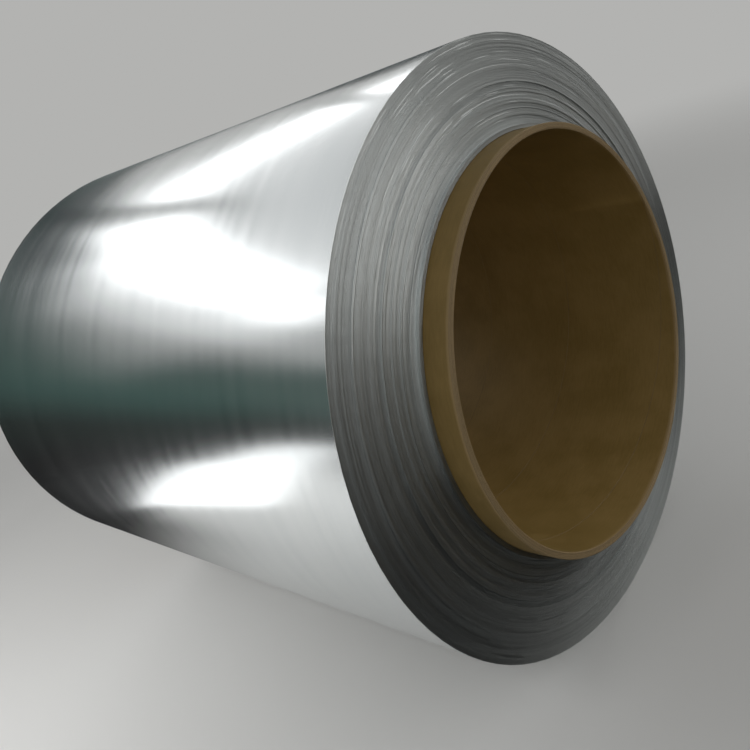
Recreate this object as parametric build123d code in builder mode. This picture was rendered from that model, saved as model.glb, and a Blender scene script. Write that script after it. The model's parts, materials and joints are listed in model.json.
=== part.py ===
# Steel strip coil on a paper tube, lying with its bore level
#
# Bright galvanised strip is wound turn upon turn on a spiral-wound kraft paper tube. The tube is
# longer than the strip is wide and stands out of both ends of the winding.
# The strip wandered a little sideways while it was wound, so the ends of the coil are not flat:
# groups of turns stand out or lie back. The strip has one width, so a group that stands out at
# one end lies back by as much at the other.
# The outer turn is a spiral, and the strip's free end is a step of one thickness, low at the back.
#
# Frame: millimetres, +Z up, the bore along X. The origin is on the bore's axis, at its middle.

import os
from math import cos, radians, sin

from build123d import *

# Strip
strip_width = 914.0  # 36 inch strip
strip_thickness = 0.5
free_end_angle = -38.0  # where the strip's free end lies, in degrees from +Y towards +Z

# Paper tube
core_bore = 508.0  # for a 20 inch expanding mandrel
core_wall = 8.0
core_overhang = 40.0  # tube beyond the strip's edge, at each end
core_edge_chamfer = 1.0
winding_clearance = 0.3  # between the tube and the first turn

# Groups of turns from the tube outwards: how many turns, and how many steps they stand out at the
# +X end, or lie back where that is negative
stand_out_step = 0.1
turn_groups = (
    (10, 60),
    (14, 2),
    (10, -5),
    (19, 4),
    (11, -1),
    (12, 7),
    (15, 1),
    (12, 6),
    (13, -16),
    (17, 3),
    (15, -1),
    (31, 4),
    (19, -9),
    (19, -4),
    (17, -8),
)

# Sizes that follow
core_inner_radius = core_bore / 2
core_outer_radius = core_inner_radius + core_wall
core_length = strip_width + 2 * core_overhang
winding_inner_radius = core_outer_radius + winding_clearance
turned_turns = sum(turns for turns, _ in turn_groups)
turned_radius = winding_inner_radius + turned_turns * strip_thickness
coil_radius = turned_radius + 2 * strip_thickness  # at the free end of the outer turn
outer_turn_stand_out = turn_groups[-1][1] * stand_out_step


def end_outline(edge):
    """One end of the winding from the tube outwards, for a strip whose edge is at x = edge."""
    points = []
    radius = winding_inner_radius
    for turns, steps_out in turn_groups:
        x = edge + steps_out * stand_out_step
        points.append((x, radius))
        radius += turns * strip_thickness
        points.append((x, radius))
    return points


# The winding is turned as one solid
with BuildPart() as steel_strip:
    with BuildSketch(Plane.XZ):
        with BuildLine():
            near_end = end_outline(strip_width / 2)
            far_end = end_outline(-strip_width / 2)
            Polyline(*near_end, *reversed(far_end), close=True)
        make_face()
    revolve(axis=Axis.X)

    # The outer turn comes in by one thickness, as two half circles on centres either side of the axis
    centre_offset = strip_thickness / 4
    offset_x = centre_offset * cos(radians(free_end_angle))
    offset_y = centre_offset * sin(radians(free_end_angle))
    with BuildSketch(Plane.YZ.offset(outer_turn_stand_out - strip_width / 2)):
        with BuildLine():
            first_half = CenterArc(
                (offset_x, offset_y), coil_radius - centre_offset, free_end_angle, 180
            )
            second_half = CenterArc(
                (-offset_x, -offset_y), coil_radius - 3 * centre_offset, free_end_angle + 180, 180
            )
            Line(second_half @ 1, first_half @ 0)
        make_face()
        Circle(turned_radius, mode=Mode.SUBTRACT)
    extrude(amount=strip_width)
steel_strip.part.label = "steel_strip"

# The tube is cut square, and its edges are rubbed down
with BuildPart() as paper_core:
    with BuildSketch(Plane.XZ):
        with Locations((0, core_inner_radius + core_wall / 2)):
            Rectangle(core_length, core_wall)
    revolve(axis=Axis.X)
    tube_ends = paper_core.faces().filter_by(Axis.X)
    chamfer(tube_ends.edges(), core_edge_chamfer)
paper_core.part.label = "paper_core"

os.makedirs("parts", exist_ok=True)
export_step(steel_strip.part, "parts/steel_strip.step")
export_step(paper_core.part, "parts/paper_core.step")
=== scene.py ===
"""Coil of bright steel strip on a kraft paper tube, on a pale studio floor.

The strip is one spiral of thin turns, and their cut edges make the ends of the coil. The tube is
wound from plies of paper: a seam runs round its walls, and the ply edges show on its cut ends.
Metres, +Z up, the bore along X.
"""

import json
from math import ceil, cos, pi, radians, sin, tan, tau

import bmesh
import bpy
from mathutils import Matrix, Vector


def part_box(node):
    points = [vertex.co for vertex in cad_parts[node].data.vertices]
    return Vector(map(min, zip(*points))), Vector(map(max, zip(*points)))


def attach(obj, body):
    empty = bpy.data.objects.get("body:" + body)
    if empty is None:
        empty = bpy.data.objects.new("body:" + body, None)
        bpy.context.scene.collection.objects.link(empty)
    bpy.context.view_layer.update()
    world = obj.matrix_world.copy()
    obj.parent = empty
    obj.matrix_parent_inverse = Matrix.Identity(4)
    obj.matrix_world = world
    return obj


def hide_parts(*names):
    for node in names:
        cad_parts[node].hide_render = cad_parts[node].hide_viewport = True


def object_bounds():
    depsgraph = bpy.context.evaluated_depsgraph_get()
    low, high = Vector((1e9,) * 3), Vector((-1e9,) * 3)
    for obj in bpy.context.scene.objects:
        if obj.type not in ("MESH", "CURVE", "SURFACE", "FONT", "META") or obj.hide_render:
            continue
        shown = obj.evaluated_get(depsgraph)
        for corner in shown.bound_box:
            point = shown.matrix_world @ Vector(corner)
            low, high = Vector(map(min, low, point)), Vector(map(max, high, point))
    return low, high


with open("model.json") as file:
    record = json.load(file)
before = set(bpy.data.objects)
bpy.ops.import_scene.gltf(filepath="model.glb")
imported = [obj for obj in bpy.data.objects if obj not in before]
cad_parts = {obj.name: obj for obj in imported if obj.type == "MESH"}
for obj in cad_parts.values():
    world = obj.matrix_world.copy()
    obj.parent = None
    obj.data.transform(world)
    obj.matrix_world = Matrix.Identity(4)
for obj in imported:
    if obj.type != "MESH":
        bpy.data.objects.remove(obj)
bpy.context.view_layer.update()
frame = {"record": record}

MM = 0.001

# Strip
STRIP_WIDTH = 914 * MM
STRIP_THICKNESS = 0.5 * MM
FREE_END_ANGLE = radians(-38)
WINDING_CLEARANCE = 0.3 * MM

# Groups of turns from the tube outwards: how many turns, how far they stand out at the +X end in
# millimetres, and how bright their cut edges are. That brightness is partly the edges' own tone and
# partly painted light: painted highlight on the raised narrow groups and on the outermost turn's
# rim, and painted shade on the sunken ones. The groups of one to three turns are the ridges and
# grooves between the wide ones
TURN_GROUPS = (
    (10, 6.0, 0.80),
    (2, 0.9, 1.25),
    (12, 0.2, 1.02),
    (10, -0.5, 0.96),
    (15, 0.4, 1.02),
    (2, -0.3, 0.90),
    (2, 0.6, 1.12),
    (11, -0.1, 0.97),
    (12, 0.7, 1.04),
    (15, 0.1, 1.02),
    (8, 0.5, 1.04),
    (3, 0.7, 1.10),
    (1, -0.3, 0.86),
    (13, -0.9, 0.90),
    (17, 0.3, 1.05),
    (15, -0.1, 0.99),
    (23, 0.3, 1.03),
    (3, 0.6, 1.12),
    (3, 0.4, 1.02),
    (2, -0.5, 0.88),
    (19, -0.6, 0.95),
    (19, -0.4, 0.93),
    (16, -0.8, 0.92),
    (1, -0.8, 1.10),
    (1, -0.7, 1.90),
)
STEPS_PER_TURN = 96
GROUP_CHANGE = 0.3  # turns over which the strip moves from one group's place to the next
WANDER = 0.16 * MM  # sideways play of the strip from turn to turn
DRIFT = 0.30 * MM  # slower play, which neighbouring turns share
WELD_DISTANCE = 0.002 * MM
SHARP_ANGLE = radians(30)

# Paper tube
CORE_WALL = 8 * MM
CORE_EDGE = 0.8 * MM  # rubbed edge at the cut ends
CORE_STEPS = 144
PLY_COUNT = 13
PLY_RELIEF = 0.22 * MM
PLY_LEAD = 162 * MM  # how far a ply advances along the tube in one turn
SEAM_GAP = 0.9 * MM
SEAM_DEPTH = 0.3 * MM
SEAM_FADE = 3 * MM  # the seam is rubbed flat over this length at the cut ends
LOOSE_PLY = 2  # counted from the bore
LOOSE_PLY_DEPTH = 1.2 * MM
PLY_GROOVE = 0.6  # depth of the line between two plies, as a share of their relief
PLY_UNEVENNESS = 0.6  # and how far a ply wanders round the tube
WORN_LENGTH = 6 * MM  # about how far in from its ends the tube is worn pale

bore_radius = frame["record"]["mounts"][0]["dims"]["r_mm"] * MM
core_radius = bore_radius + CORE_WALL
core_half_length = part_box("paper_core")[1].x
winding_radius = core_radius + WINDING_CLEARANCE
turns = sum(group[0] for group in TURN_GROUPS)


# Node trees written as expressions


class Value:
    """A socket in a node tree. Arithmetic on it adds the tree's Math nodes."""

    def __init__(self, nodes, socket):
        self.nodes = nodes
        self.socket = socket

    def output(self, name):
        """Another output of the same node."""
        return Value(self.nodes, pick(self.socket.node.outputs, name))

    def math(self, operation, *values):
        inputs = dict(enumerate((self, *values)))
        return self.nodes.add("ShaderNodeMath", {"operation": operation}, inputs)

    def __add__(self, other):
        return self.math("ADD", other)

    __radd__ = __add__

    def __sub__(self, other):
        return self.math("SUBTRACT", other)

    def __rsub__(self, other):
        return (self * -1) + other

    def __mul__(self, other):
        return self.math("MULTIPLY", other)

    __rmul__ = __mul__

    def __truediv__(self, other):
        return self.math("DIVIDE", other)

    def __floordiv__(self, other):
        return (self / other).math("FLOOR")

    def __mod__(self, other):
        return self.math("FLOORED_MODULO", other)

    def __gt__(self, other):
        return self.math("GREATER_THAN", other)

    def __lt__(self, other):
        return self.math("LESS_THAN", other)

    def ramp(self, start, end, low=0, high=1):
        """The low number up to start, the high one from end on, and a smooth change between."""
        settings = {"interpolation_type": "SMOOTHSTEP"}
        inputs = {"Value": self, "From Min": start, "From Max": end, "To Min": low, "To Max": high}
        return self.nodes.add("ShaderNodeMapRange", settings, inputs)


def pick(sockets, key):
    """A socket by its number, or the first one in use with that name."""
    if isinstance(key, int):
        return sockets[key]
    return next(socket for socket in sockets if socket.name == key and socket.enabled)


class Nodes:
    """A node tree whose nodes all come from add()."""

    def __init__(self, tree):
        self.tree = tree
        tree.nodes.clear()

    def add(self, kind, settings=None, inputs=None):
        node = self.tree.nodes.new(kind)
        for name, value in (settings or {}).items():
            if name == "stops":
                set_stops(node.color_ramp, value)
            else:
                setattr(node, name, value)
        for key, value in (inputs or {}).items():
            socket = pick(node.inputs, key)
            for part in value if isinstance(value, list) else [value]:
                if isinstance(part, Value):
                    self.tree.links.new(part.socket, socket)
                else:
                    socket.default_value = part
        used = [socket for socket in node.outputs if socket.enabled]
        return Value(self, used[0]) if used else None


def set_stops(ramp, stops):
    while len(ramp.elements) < len(stops):
        ramp.elements.new(1)
    for element, (position, colour) in zip(ramp.elements, stops):
        element.position = position
        element.color = (*colour, 1)


def noise(nodes, place, scale=1.0, detail=2.0, roughness=0.5):
    """Noise from 0 to 1 over a place in space."""
    inputs = {"Vector": place, "Scale": scale, "Detail": detail, "Roughness": roughness}
    return nodes.add("ShaderNodeTexNoise", {"noise_dimensions": "3D"}, inputs)


def line_noise(nodes, along, scale, detail=2.0, roughness=0.5):
    """Noise from 0 to 1 over one number."""
    inputs = {"W": along, "Scale": scale, "Detail": detail, "Roughness": roughness}
    return nodes.add("ShaderNodeTexNoise", {"noise_dimensions": "1D"}, inputs)


def vector(nodes, x, y, z):
    return nodes.add("ShaderNodeCombineXYZ", {}, {"X": x, "Y": y, "Z": z})


def stretched(nodes, place, density):
    """A place whose noise repeats about as often in a metre along X, Y and Z as density says."""
    return vector(nodes, *(part * times for part, times in zip(place, density)))


# Geometry trees


def geometry_tree(name, sizes):
    """A geometry tree with one named input for each size, and those inputs as values."""
    tree = bpy.data.node_groups.new(name, "GeometryNodeTree")
    tree.interface.new_socket("Geometry", in_out="OUTPUT", socket_type="NodeSocketGeometry")
    for size, value in sizes.items():
        kind = "NodeSocketInt" if isinstance(value, int) else "NodeSocketFloat"
        tree.interface.new_socket(size, in_out="INPUT", socket_type=kind)
    nodes = Nodes(tree)
    group_input = nodes.add("NodeGroupInput")
    return nodes, {size: group_input.output(size) for size in sizes}


def grid_of(nodes, columns, rows):
    """A flat grid: its mesh, and each point's column and row."""
    grid = nodes.add("GeometryNodeMeshGrid", {}, {"Vertices X": columns, "Vertices Y": rows})
    index = nodes.add("GeometryNodeInputIndex")
    return grid.output("Mesh"), index // rows, index % rows


def place_round_bore(nodes, mesh, along, radius, angle):
    """Moves the grid's points to a radius and angle round the bore, from +Y towards +Z."""
    place = vector(nodes, along, radius * angle.math("COSINE"), radius * angle.math("SINE"))
    return nodes.add("GeometryNodeSetPosition", {}, {"Geometry": mesh, "Position": place})


def store(nodes, mesh, name, value):
    settings = {"data_type": "FLOAT", "domain": "POINT"}
    inputs = {"Geometry": mesh, "Name": name, "Value": value}
    return nodes.add("GeometryNodeStoreNamedAttribute", settings, inputs)


def finish_shell(nodes, parts, wall_material, end_material):
    """Welds the parts, shades them smooth up to sharp edges and gives each side its material."""
    shell = nodes.add("GeometryNodeJoinGeometry", {}, {"Geometry": parts})
    inputs = {"Geometry": shell, "Distance": WELD_DISTANCE}
    shell = nodes.add("GeometryNodeMergeByDistance", {}, inputs)
    inputs = {"Geometry": shell, "Shade Smooth": True}
    shell = nodes.add("GeometryNodeSetShadeSmooth", {"domain": "FACE"}, inputs)
    sharp = nodes.add("GeometryNodeInputMeshEdgeAngle") > SHARP_ANGLE
    inputs = {"Geometry": shell, "Selection": sharp, "Shade Smooth": False}
    shell = nodes.add("GeometryNodeSetShadeSmooth", {"domain": "EDGE"}, inputs)
    shell = nodes.add("GeometryNodeRealizeInstances", {}, {"Geometry": shell})
    shell = nodes.add("GeometryNodeSetMaterial", {}, {"Geometry": shell, "Material": wall_material})
    normal = nodes.add("GeometryNodeInputNormal")
    along = nodes.add("ShaderNodeSeparateXYZ", {}, {"Vector": normal}).output("X")
    on_end = along.math("ABSOLUTE") > 0.5
    inputs = {"Geometry": shell, "Selection": on_end, "Material": end_material}
    shell = nodes.add("GeometryNodeSetMaterial", {}, inputs)
    nodes.add("NodeGroupOutput", {}, {"Geometry": shell})


def build(name, nodes, sizes, materials):
    """The tree's result as a plain closed mesh whose faces point outwards."""
    mesh = bpy.data.meshes.new(name)
    for material in materials:
        mesh.materials.append(material)
    piece = bpy.data.objects.new(name, mesh)
    bpy.context.scene.collection.objects.link(piece)
    modifier = piece.modifiers.new("shape", "NODES")
    modifier.node_group = nodes.tree
    for item in nodes.tree.interface.items_tree:
        if item.in_out == "INPUT":
            modifier[item.identifier] = sizes[item.name]
    graph = bpy.context.evaluated_depsgraph_get()
    made = bpy.data.meshes.new_from_object(piece.evaluated_get(graph))
    piece.modifiers.remove(modifier)
    piece.data = made
    made.name = name
    bpy.data.meshes.remove(mesh)
    shell = bmesh.new()
    shell.from_mesh(made)
    open_edges = [edge for edge in shell.edges if edge.is_boundary]
    for edge in open_edges:
        edge.smooth = False
    bmesh.ops.holes_fill(shell, edges=open_edges, sides=0)
    bmesh.ops.recalc_face_normals(shell, faces=shell.faces)
    shell.to_mesh(made)
    shell.free()
    return piece


def group_signal(turn, values):
    """A value that moves from group to group of turns as the strip is wound on."""
    signal = values[0]
    boundary = 0
    for (count, _, _), value, following in zip(TURN_GROUPS, values, values[1:]):
        boundary += count
        if following != value:
            step = turn.ramp(boundary - GROUP_CHANGE / 2, boundary + GROUP_CHANGE / 2)
            signal = step * (following - value) + signal
    return signal


def wound_strip(face_material, edge_material):
    """The whole strip: turn upon turn in one spiral, with a step at its free end."""
    sizes = {
        "Inner radius": winding_radius,
        "Thickness": STRIP_THICKNESS,
        "Width": STRIP_WIDTH,
        "Turns": turns,
        "Steps per turn": STEPS_PER_TURN,
        "Free end angle": FREE_END_ANGLE,
        "Wander": WANDER,
        "Drift": DRIFT,
    }
    nodes, size = geometry_tree("wound_strip", sizes)
    corners = size["Turns"] * 4
    mesh, column, row = grid_of(nodes, corners + 1, size["Steps per turn"] + 1)

    # The section's outline goes out over the edges at the +X end and back over those at the other
    far = (column > corners / 2 - 0.5) * (column < corners - 0.5)
    corner = far * (corners - 1 - column * 2) + column % corners
    turn = corner // 2 + row / size["Steps per turn"]
    outer_corner = corner % 2

    stand_out = group_signal(turn, [group[1] * MM for group in TURN_GROUPS])
    radius = size["Inner radius"] + (turn + outer_corner) * size["Thickness"]
    angle = size["Free end angle"] - row / size["Steps per turn"] * tau
    play = line_noise(nodes, turn, scale=0.8, detail=3.0, roughness=0.6) - 0.5
    drift_place = vector(nodes, turn * 0.25, angle.math("COSINE"), angle.math("SINE"))
    drift = noise(nodes, drift_place, scale=0.9, detail=0.0) - 0.5
    uneven = play * size["Wander"] * 2 + drift * size["Drift"] * 2
    along = (0.5 - far) * size["Width"] + stand_out + uneven

    mesh = store(nodes, mesh, "turn", turn)
    mesh = store(nodes, mesh, "across", outer_corner)
    # Brightness of the groups' cut edges: partly their own tone, partly painted highlight on raised
    # turns and the rim, and painted shade on sunken turns
    edge_tone = group_signal(turn, [group[2] for group in TURN_GROUPS])
    mesh = store(nodes, mesh, "edge_tone", edge_tone)
    mesh = place_round_bore(nodes, mesh, along, radius, angle)
    finish_shell(nodes, [mesh], face_material, edge_material)
    return build("wound_strip", nodes, sizes, [face_material, edge_material])


def tube_wall(nodes, size, radius, groove_side):
    """One wall of the tube, with its ply seam running round it as a helix."""
    leads = ceil(core_half_length / PLY_LEAD)
    columns = (2 * leads + 2) * 4
    mesh, column, row = grid_of(nodes, columns, size["Steps"] + 1)
    around = row / size["Steps"]
    in_seam = column % 4
    shift = (in_seam - 1.5) * (size["Seam gap"] / 3)
    half = size["Half length"] - size["Edge"]
    along = (column // 4 - leads - 1 + around) * size["Ply lead"] + shift
    along = along.math("MAXIMUM", half * -1).math("MINIMUM", half)
    deep = (in_seam > 0.5) * (in_seam < 2.5)
    from_end = half - along.math("ABSOLUTE")
    depth = deep * from_end.ramp(0, SEAM_FADE) * size["Seam depth"]
    return place_round_bore(nodes, mesh, along, radius + depth * groove_side, around * tau)


def tube_end(nodes, size, side):
    """One cut end of the tube: the rubbed edges, and ply edges that stand a little unevenly."""
    columns = PLY_COUNT * 3 + 2
    mesh, column, row = grid_of(nodes, columns, size["Steps"] + 1)
    angle = row / size["Steps"] * tau
    last = columns - 1
    on_rim = (column < 0.5) + (column > last - 0.5)
    ply = (column - 1) // 3
    in_ply = (column - 1) % 3
    step = (column - 1) / (last - 2)
    face_inner = size["Inner radius"] + size["Edge"]
    face_width = size["Wall"] - size["Edge"] * 2
    radius = face_inner + step.math("MAXIMUM", 0).math("MINIMUM", 1) * face_width
    radius = radius + (column > last - 0.5) * size["Edge"] - (column < 0.5) * size["Edge"]

    # Each ply of each end has a noise of its own
    round_y, round_z = angle.math("COSINE"), angle.math("SINE")
    uneven = noise(nodes, vector(nodes, ply * 7.3 + side * 31, round_y, round_z), scale=1.6)
    groove = (in_ply < 0.5) * PLY_GROOVE + uneven * PLY_UNEVENNESS
    loose = (ply > LOOSE_PLY - 0.5) * (ply < LOOSE_PLY + 0.5) * (in_ply < 0.5)
    open_part = noise(nodes, vector(nodes, side * 5, round_y, round_z), scale=0.9)
    relief = groove * size["Ply relief"] + loose * open_part.ramp(0.42, 0.6) * LOOSE_PLY_DEPTH
    inside = 1 - on_rim
    along = size["Half length"] - on_rim * size["Edge"] - relief * inside
    return place_round_bore(nodes, mesh, along * side, radius, angle)


def paper_tube(wall_material, end_material):
    """The paper tube, with the seam of its outer and inner plies and the ply edges at its ends."""
    sizes = {
        "Inner radius": bore_radius,
        "Wall": CORE_WALL,
        "Half length": core_half_length,
        "Edge": CORE_EDGE,
        "Steps": CORE_STEPS,
        "Ply lead": PLY_LEAD,
        "Seam gap": SEAM_GAP,
        "Seam depth": SEAM_DEPTH,
        "Ply relief": PLY_RELIEF,
    }
    nodes, size = geometry_tree("paper_tube", sizes)
    parts = [
        tube_wall(nodes, size, size["Inner radius"] + size["Wall"], -1),
        tube_wall(nodes, size, size["Inner radius"], 1),
        tube_end(nodes, size, 1),
        tube_end(nodes, size, -1),
    ]
    finish_shell(nodes, parts, wall_material, end_material)
    return build("paper_tube", nodes, sizes, [wall_material, end_material])


# Materials

BLACK = (0.0, 0.0, 0.0)
STRIP_DULL, STRIP_CLEAR = (0.69, 0.72, 0.73), (0.75, 0.775, 0.78)
CUT_EDGE = (0.80, 0.83, 0.81)
KRAFT_DARK, KRAFT_PALE = (0.225, 0.146, 0.038), (0.310, 0.203, 0.064)
KRAFT_WORN = (0.380, 0.265, 0.125)
SAWN_DARK, SAWN_PALE = (0.120, 0.081, 0.034), (0.235, 0.165, 0.079)
# Dark red-brown line at the loose ply: the paper's reddish tone, darkened with painted shade of its
# gap
LOOSE_PLY_RED_AND_SHADE = (0.060, 0.024, 0.014)

# Roughness where a finish is dull or dark, and where it is clear or pale
STRIP_ROUGHNESS = (0.18, 0.20)
CUT_EDGE_ROUGHNESS = (0.38, 0.28)
KRAFT_ROUGHNESS = (0.50, 0.62)
SAWN_ROUGHNESS = 0.75

# Streaks of the cut edges: the darkest one's tone, how much the brightest one adds to it, and the
# share of the cut edges' colour that a tone of 1 shows
STREAK_DARKEST, STREAK_CONTRAST = 0.66, 0.42
STREAK_SHARE = 0.6

# About how often the strip's and the paper's patterns repeat in a metre along X, Y and Z
GRAIN_DENSITY = (900, 7, 7)
BAND_DENSITY = (60, 1.5, 1.5)
WAVE_DENSITY = (5, 3, 3)
FIBRE_DENSITY = (420, 60, 60)

# Heights of the relief that shows as bump, in millimetres
GRAIN_HEIGHT, BAND_HEIGHT, WAVE_HEIGHT = 0.0010, 0.0015, 0.35
EDGE_ROUNDING, EDGE_LEAN = 0.10, 0.12
FIBRE_HEIGHT, BLOTCH_HEIGHT = 0.05, 0.12
FUZZ_HEIGHT, PLY_GAP_DEPTH = 0.10, 0.15


def new_material(name):
    material = bpy.data.materials.new(name)
    material.use_nodes = True
    return material, Nodes(material.node_tree)


def principled(nodes, inputs):
    shader = nodes.add("ShaderNodeBsdfPrincipled", {}, inputs)
    nodes.add("ShaderNodeOutputMaterial", {}, {"Surface": shader})


def object_place(nodes):
    """The place on the object, its X, Y and Z, and its distance from the bore's axis."""
    place = nodes.add("ShaderNodeTexCoord").output("Object")
    parts = nodes.add("ShaderNodeSeparateXYZ", {}, {"Vector": place})
    x, y, z = (parts.output(name) for name in "XYZ")
    return place, x, y, z, (y * y + z * z).math("SQRT")


def attribute(nodes, name):
    return nodes.add("ShaderNodeAttribute", {"attribute_name": name}).output("Fac")


def tinted(nodes, amount, low, high):
    """A colour between two, by an amount from 0 to 1. The low one may come from another node."""
    low = low if isinstance(low, Value) else (*low, 1)
    inputs = {"Factor": amount, "A": low, "B": (*high, 1)}
    return nodes.add("ShaderNodeMix", {"data_type": "RGBA"}, inputs)


def bump(nodes, height):
    """The normal of a relief whose height is in millimetres."""
    inputs = {"Height": height, "Distance": MM, "Strength": 1.0}
    return nodes.add("ShaderNodeBump", {}, inputs)


def bright_strip():
    """Rolled, galvanised face of the strip: a satin mirror with a fine grain round the coil."""
    material, nodes = new_material("bright_strip_face")
    _, *place, _ = object_place(nodes)
    grain = noise(nodes, stretched(nodes, place, GRAIN_DENSITY), detail=3.0, roughness=0.6)
    bands = noise(nodes, stretched(nodes, place, BAND_DENSITY))
    wave = noise(nodes, stretched(nodes, place, WAVE_DENSITY), detail=0.0)
    height = grain * GRAIN_HEIGHT + bands * BAND_HEIGHT + wave * WAVE_HEIGHT
    tone = (bands * 0.6 + grain * 0.4).ramp(0.25, 0.75)
    principled(
        nodes,
        {
            "Base Color": tinted(nodes, tone, STRIP_DULL, STRIP_CLEAR),
            "Metallic": 1.0,
            "Roughness": bands.ramp(0.3, 0.7, *STRIP_ROUGHNESS),
            "Normal": bump(nodes, height),
        },
    )
    return material


def cut_edges():
    """Slit edges of the turns: dull grey, with streaks that follow single turns and groups."""
    material, nodes = new_material("strip_cut_edges")
    _, x, y, z, radius = object_place(nodes)
    turn, across, group_tone_and_painted_light = (attribute(nodes, name) for name in ("turn", "across", "edge_tone"))
    side = x.math("SIGN") * 3

    # Streaks: one for each turn, broader ones over several turns, and the groups' tones, which come
    # and go along the turn. A group's tone is partly its edges' own, and partly painted highlight
    # on raised turns and the outermost rim and painted shade on sunken turns
    single = line_noise(nodes, turn + side, scale=5.0, roughness=0.6)
    round_y, round_z = y / radius, z / radius
    broad_place = vector(nodes, (turn + across) * 0.28 + side, round_y * 1.1, round_z * 1.1)
    broad = noise(nodes, broad_place, detail=3.0, roughness=0.65)
    wide_place = vector(nodes, (turn + across) * 0.09 + side, round_y * 0.9, round_z * 0.9)
    wide = noise(nodes, wide_place, detail=1.0)
    shown_place = vector(nodes, (turn + across) * 0.06, round_y, round_z)
    shown = noise(nodes, shown_place, scale=1.3, detail=1.0)
    group = (group_tone_and_painted_light - 1) * shown.ramp(0.35, 0.6, 0.4, 1.2) + 1
    tone = single.ramp(0.2, 0.8) * 0.30 + broad.ramp(0.25, 0.75) * 0.40
    tone = tone + wide.ramp(0.3, 0.7) * 0.30
    shade = (STREAK_DARKEST + tone * STREAK_CONTRAST) * group
    colour = tinted(nodes, shade * STREAK_SHARE, BLACK, CUT_EDGE)

    # Each edge is rounded by the slitter, and leans a little to one side or the other
    lean = (line_noise(nodes, turn + side + 50, scale=4.0, detail=1.0) - 0.5) * 1.6
    rounded = across * (1 - across) * 4
    height = rounded * EDGE_ROUNDING + (across - 0.5) * lean * EDGE_LEAN
    principled(
        nodes,
        {
            "Base Color": colour,
            "Metallic": 1.0,
            "Roughness": tone.ramp(0, 1, *CUT_EDGE_ROUGHNESS),
            "Normal": bump(nodes, height),
        },
    )
    return material


def kraft_wall():
    """Smooth face of the kraft paper: olive brown with faint fibres along the ply, and paler where
    the tube has been handled at its ends."""
    material, nodes = new_material("kraft_wall")
    place, x, y, z, _ = object_place(nodes)
    blotch = noise(nodes, place, scale=16.0, detail=3.0, roughness=0.6)
    fibre_place = stretched(nodes, (x, y, z), FIBRE_DENSITY)
    fibre = noise(nodes, fibre_place, detail=3.0, roughness=0.65)
    tone = blotch.ramp(0.3, 0.7) * 0.6 + fibre.ramp(0.3, 0.7) * 0.4
    paper = tinted(nodes, tone, KRAFT_DARK, KRAFT_PALE)
    worn_to = WORN_LENGTH * 0.4 + blotch * WORN_LENGTH
    worn = (core_half_length - x.math("ABSOLUTE")) / worn_to
    principled(
        nodes,
        {
            "Base Color": tinted(nodes, worn.ramp(0.4, 1, 0.8, 0), paper, KRAFT_WORN),
            "Roughness": tone.ramp(0, 1, *KRAFT_ROUGHNESS),
            "Normal": bump(nodes, fibre * FIBRE_HEIGHT + blotch * BLOTCH_HEIGHT),
        },
    )
    return material


def kraft_cut():
    """Sawn end of the tube: paler ply edges, with a dark reddish line where a ply has come loose.
    The red is the paper's own, and the darkness is painted shade of the gap.
    """
    material, nodes = new_material("kraft_cut_end")
    place, _, y, z, radius = object_place(nodes)
    ply_place = (radius - bore_radius - CORE_EDGE) / (CORE_WALL - 2 * CORE_EDGE) * PLY_COUNT
    ply = ply_place.math("FLOOR")
    in_ply = ply_place - ply
    ply_tone = noise(nodes, vector(nodes, ply * 3.7, y / radius * 1.5, z / radius * 1.5))
    fuzz = noise(nodes, place, scale=900.0, detail=3.0, roughness=0.7)
    gap = in_ply.ramp(0, 0.16, 1, 0)
    tone = (ply_tone * 0.7 + fuzz * 0.3 - gap * 0.25).ramp(0.15, 0.7)
    paper = tinted(nodes, tone, SAWN_DARK, SAWN_PALE)
    # Painted shade of the loose ply's gap, over its reddish paper
    loose = (ply_place - LOOSE_PLY).math("ABSOLUTE").ramp(0.1, 0.5, 1, 0)
    principled(
        nodes,
        {
            "Base Color": tinted(nodes, loose * 0.8, paper, LOOSE_PLY_RED_AND_SHADE),
            "Roughness": SAWN_ROUGHNESS,
            "Normal": bump(nodes, fuzz * FUZZ_HEIGHT - gap * PLY_GAP_DEPTH),
        },
    )
    return material


# Studio

CAMERA_PLACE = (0.9498, -0.6761, 0.3869)
CAMERA_HEADING = radians(133.94)  # from +X towards +Y
CAMERA_PITCH = radians(-17.05)
CAMERA_ROLL = radians(-21.54)
FRAME_SIZE = 750
FOCAL_LENGTH = 714.6  # in pixels of that frame
OPTICAL_CENTRE = (440.5, 274.9)  # where the lens axis meets the picture
SENSOR_WIDTH = 36


def add_camera():
    lens = bpy.data.cameras.new("camera")
    lens.sensor_width = SENSOR_WIDTH
    lens.lens = FOCAL_LENGTH / FRAME_SIZE * SENSOR_WIDTH
    lens.shift_x = 0.5 - OPTICAL_CENTRE[0] / FRAME_SIZE
    lens.shift_y = OPTICAL_CENTRE[1] / FRAME_SIZE - 0.5
    camera = bpy.data.objects.new("camera", lens)
    bpy.context.scene.collection.objects.link(camera)
    turn = Matrix.Rotation(CAMERA_HEADING - pi / 2, 4, "Z")
    tilt = Matrix.Rotation(pi / 2 + CAMERA_PITCH, 4, "X")
    roll = Matrix.Rotation(CAMERA_ROLL, 4, "Z")
    camera.matrix_world = Matrix.Translation(CAMERA_PLACE) @ turn @ tilt @ roll
    bpy.context.scene.camera = camera


def direction(azimuth, elevation):
    """Unit vector, in degrees from +X towards +Y and up."""
    a, e = radians(azimuth), radians(elevation)
    return Vector((cos(a) * cos(e), sin(a) * cos(e), sin(e)))


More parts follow.
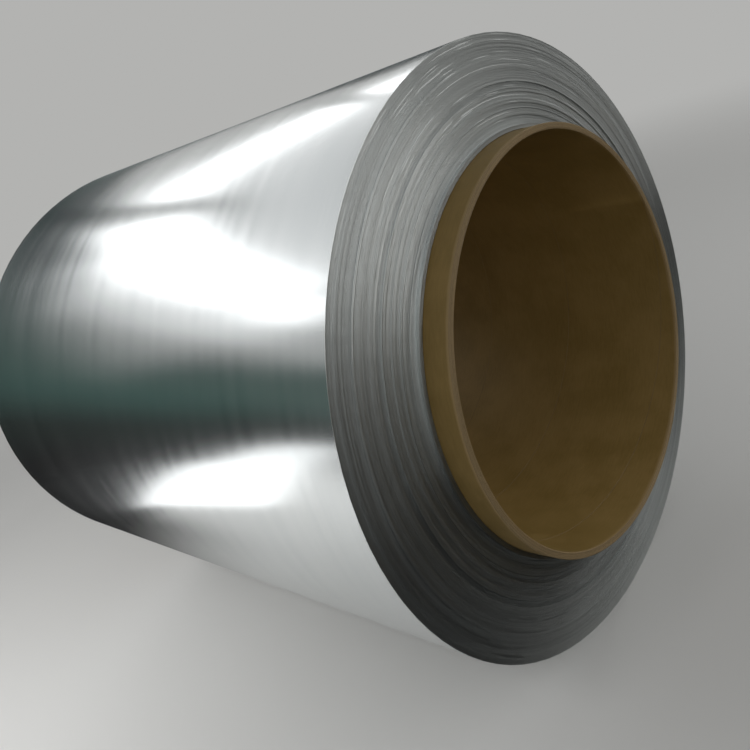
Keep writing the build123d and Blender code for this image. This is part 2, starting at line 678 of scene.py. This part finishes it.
def add_softbox(name, place, facing, length, height, radiance, spread=180, long_axis=None):
    """An area lamp at a place, facing a point. A grid on it holds its light to a spread.

    The lamp keeps its power when its spread narrows, so the power is what the grid lets through
    of a bare face with that radiance.
    """
    half = radians(spread) / 2
    let_through = sin(half) ** 2 - (half - sin(half) * cos(half)) / tan(half)
    lamp = bpy.data.lights.new(name, "AREA")
    lamp.shape = "RECTANGLE"
    lamp.size = length
    lamp.size_y = height
    lamp.energy = radiance * pi * length * height * let_through
    lamp.spread = radians(spread)
    softbox = bpy.data.objects.new(name, lamp)
    bpy.context.scene.collection.objects.link(softbox)
    back = (Vector(place) - Vector(facing)).normalized()
    side = Vector(long_axis or Vector((0, 0, 1)).cross(back))
    side = (side - back * side.dot(back)).normalized()
    turn = Matrix((side, back.cross(side), back)).transposed()
    softbox.matrix_world = Matrix.Translation(place) @ turn.to_4x4()
    softbox.visible_camera = False


# Window softboxes behind the coil, with a dim one above and one below: azimuth, elevation, how wide
# and high they look in degrees, and their radiance
WINDOWS = (
    (132.4, 28.0, 10.4, 5.6, 2.6),
    (155.6, 28.6, 24.6, 6.2, 2.6),
    (190.8, 27.2, 29.0, 9.0, 2.6),
    (210.5, 24.0, 5.0, 7.0, 2.2),
    (180.0, 41.0, 90.0, 13.0, 0.50),
    (196.0, 19.0, 34.0, 8.0, 0.40),
)
WINDOW_DISTANCE = 8.0
COIL_SHOULDER = (0.15, -0.25, 0.27)  # the part of the coil that mirrors the windows


def add_windows():
    for number, (azimuth, elevation, across, high, radiance) in enumerate(WINDOWS, 1):
        place = Vector(COIL_SHOULDER) + direction(azimuth, elevation) * WINDOW_DISTANCE
        size = (WINDOW_DISTANCE * radians(angle) for angle in (across, high))
        add_softbox(f"window_{number}", place, COIL_SHOULDER, *size, radiance)


def add_near_softboxes(floor):
    """One before the near end, one that lights the floor, and one that the strip's face mirrors."""
    end_look = {"length": 3.4, "height": 1.4, "radiance": 2.05}
    key_look = {"length": 1.1, "height": 0.8, "radiance": 22.0, "spread": 60}
    low_look = {"length": 2.5, "height": 0.38, "radiance": 1.5, "long_axis": (1, 1, 0)}
    add_softbox("end_softbox", (2.78, 0.74, 0.72), (0.46, 0.0, 0.1), **end_look)
    add_softbox("key_softbox", (-0.1, -1.9, 1.6), (-0.5, -1.1, floor), **key_look)
    add_softbox("low_softbox", (-1.44, -1.54, floor + 0.02), (-1.44, -1.54, 2.0), **low_look)


# Pale floor, which fades into a pale horizon under a dimmer ceiling
FLOOR_COLOUR = (0.70, 0.695, 0.68)
HORIZON = (0.45, 0.45, 0.44)
CEILING = (0.21, 0.215, 0.215)
CEILING_FROM, CEILING_TO = radians(20), radians(50)
FLOOR_RADIUS = 4.0
FLOOR_SIDES = 96
FADE_FROM, FADE_TO = 1.6, 3.6

# Dark flags, which the metal mirrors as its dark parts. The camera doesn't see them, they cast no
# shadow, and they thin out towards their edges. One stands folded beyond the coil's far end, with
# its foot along these X and Y, one lies on the floor before it, and one lies before the near end
# and keeps the floor's bounce from it
FLAG_FOLDS = ((-1.3, 2.6), (-1.3, -1.25), (-2.3, -2.25), (-3.0, -3.8))
FLAG_HEIGHT = 2.2
FAR_MAT = ((-1.3, 0.5), (-1.3, -1.3), (-0.05, -0.7), (-0.05, 0.5))
NEAR_MAT = ((0.5, -1.2), (3.4, -1.2), (3.4, 2.4), (0.5, 2.4))

# The cloth's colour by its height: nearly black at the foot, dark green, and nearly black again
# at the top. It is faded where Y is low, by ramps along Y and Z
FLAG_TONES_FROM, FLAG_TONES_TO = -0.3, 0.7
FLAG_TONES = (
    (0.00, (0.010, 0.010, 0.010)),
    (0.25, (0.028, 0.036, 0.033)),
    (0.45, (0.068, 0.125, 0.112)),
    (0.55, (0.082, 0.138, 0.124)),
    (0.72, (0.082, 0.130, 0.120)),
    (0.95, (0.025, 0.040, 0.042)),
)
FADED_TONE = (0.165, 0.27, 0.24)
FADED_ALONG_Y, FADED_ALONG_Z = (-1.7, -1.15, 0.65, 0), (0.05, 0.4)

# The height of the standing flag's upper edge, and the height over which it thins out there. Each
# is a sum of ramps along Y: where one starts and ends, and its value before and after. Below the Y
# of FLAG_RISE_FROM, the edge rises steadily as well
FLAG_EDGE_HEIGHT = (
    (-0.95, -0.62, 0.41, 0.58),
    (-0.62, -0.30, 0, 0.28),
    (0.0, 0.65, 0, -0.27),
    (1.0, 1.8, 0, 0.45),
    (-1.15, -0.95, 0.14, 0),
)
FLAG_EDGE_FADE = ((-0.72, -0.45, 0.58, 0.16), (-1.1, -0.95, -0.22, 0))
FLAG_RISE_FROM, FLAG_RISE = -1.15, 0.3


def add_stage_mesh(name, corners, faces, material):
    mesh = bpy.data.meshes.new(name)
    mesh.from_pydata(corners, [], faces)
    mesh.materials.append(material)
    stage = bpy.data.objects.new(name, mesh)
    bpy.context.scene.collection.objects.link(stage)
    return stage


def add_floor(height):
    material, nodes = new_material("pale_floor")
    _, x, y, _, _ = object_place(nodes)
    far = (x * x + y * y).math("SQRT").ramp(FADE_FROM, FADE_TO)
    inputs = {"Base Color": (*FLOOR_COLOUR, 1), "Roughness": 0.8}
    near_floor = nodes.add("ShaderNodeBsdfPrincipled", {}, inputs)
    horizon = nodes.add("ShaderNodeEmission", {}, {"Color": (*HORIZON, 1)})
    shader = nodes.add("ShaderNodeMixShader", {}, {0: far, 1: near_floor, 2: horizon})
    nodes.add("ShaderNodeOutputMaterial", {}, {"Surface": shader})
    angles = [tau * step / FLOOR_SIDES for step in range(FLOOR_SIDES)]
    rim = [(FLOOR_RADIUS * cos(a), FLOOR_RADIUS * sin(a), height) for a in angles]
    add_stage_mesh("floor", rim, [range(len(rim))], material)


def add_flag(name, corners, faces, solid, dims_bounce=False):
    """A dark cloth, as solid at each place as a function says. It can dim the bounce as well."""
    material, nodes = new_material(name)
    _, x, y, z, _ = object_place(nodes)
    height = (z - FLAG_TONES_FROM) / (FLAG_TONES_TO - FLAG_TONES_FROM)
    tone = nodes.add("ShaderNodeValToRGB", {"stops": FLAG_TONES}, {"Fac": height})
    faded = y.ramp(*FADED_ALONG_Y) * z.ramp(*FADED_ALONG_Z)
    colour = tinted(nodes, faded, tone, FADED_TONE)
    cloth = nodes.add("ShaderNodeBsdfDiffuse", {}, {"Color": colour})
    clear = nodes.add("ShaderNodeBsdfTransparent")
    back = nodes.add("ShaderNodeNewGeometry").output("Backfacing")
    cover = solid(x, y, z) * (1 - back) if dims_bounce else solid(x, y, z)
    shader = nodes.add("ShaderNodeMixShader", {}, {0: cover, 1: clear, 2: cloth})
    nodes.add("ShaderNodeOutputMaterial", {}, {"Surface": shader})
    flag = add_stage_mesh(name, corners, faces, material)
    flag.visible_camera = flag.visible_shadow = False
    flag.visible_diffuse = dims_bounce


def standing_part(x, y, z):
    """Thins out over a height round its upper edge."""
    edge = sum(y.ramp(*ramp) for ramp in FLAG_EDGE_HEIGHT)
    edge = edge + (FLAG_RISE_FROM - y).math("MAXIMUM", 0) * FLAG_RISE
    fade = sum(y.ramp(*ramp) for ramp in FLAG_EDGE_FADE)
    return ((edge - z) / fade).ramp(-0.5, 0.5)


def far_mat_part(x, y, z):
    """Thins out towards +X, and towards a front edge that slants back beside the coil."""
    front_edge = (x + 0.05).math("MINIMUM", -0.55)
    return x.ramp(-0.75, -0.08, 1, 0) * (y - front_edge).ramp(-0.05, 0.12)


def near_mat_part(x, y, z):
    """Thins out towards the three sides that are away from the coil."""
    return x.ramp(2.4, 3.3, 1, 0) * y.ramp(-1.2, -0.6) * y.ramp(1.6, 2.4, 1, 0)


def add_flags(height):
    corners = [(x, y, height + lift) for x, y in FLAG_FOLDS for lift in (0, FLAG_HEIGHT)]
    faces = [(k, k + 1, k + 3, k + 2) for k in range(0, len(corners) - 2, 2)]
    add_flag("standing_flag", corners, faces, standing_part)
    for name, outline, solid, dims_bounce in (
        ("far_mat", FAR_MAT, far_mat_part, False),
        ("near_mat", NEAR_MAT, near_mat_part, True),
    ):
        corners = [(x, y, height + MM) for x, y in outline]
        add_flag(name, corners, [(0, 1, 2, 3)], solid, dims_bounce)


def add_world():
    world = bpy.data.worlds.new("studio")
    world.use_nodes = True
    nodes = Nodes(world.node_tree)
    place = nodes.add("ShaderNodeTexCoord").output("Generated")
    parts = nodes.add("ShaderNodeSeparateXYZ", {}, {"Vector": place})
    ceiling = parts.output("Z").ramp(sin(CEILING_FROM), sin(CEILING_TO))
    colour = tinted(nodes, ceiling, HORIZON, CEILING)
    background = nodes.add("ShaderNodeBackground", {}, {"Color": colour, "Strength": 1.0})
    nodes.add("ShaderNodeOutputWorld", {}, {"Surface": background})
    bpy.context.scene.world = world


strip = wound_strip(bright_strip(), cut_edges())
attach(strip, "root")
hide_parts("steel_strip")

tube = paper_tube(kraft_wall(), kraft_cut())
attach(tube, "root")
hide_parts("paper_core")

visual_low, visual_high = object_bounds()
add_camera()
floor_height = visual_low.z
add_floor(floor_height)
add_flags(floor_height)
add_world()
add_windows()
add_near_softboxes(floor_height)

bpy.context.scene.view_settings.view_transform = "Standard"
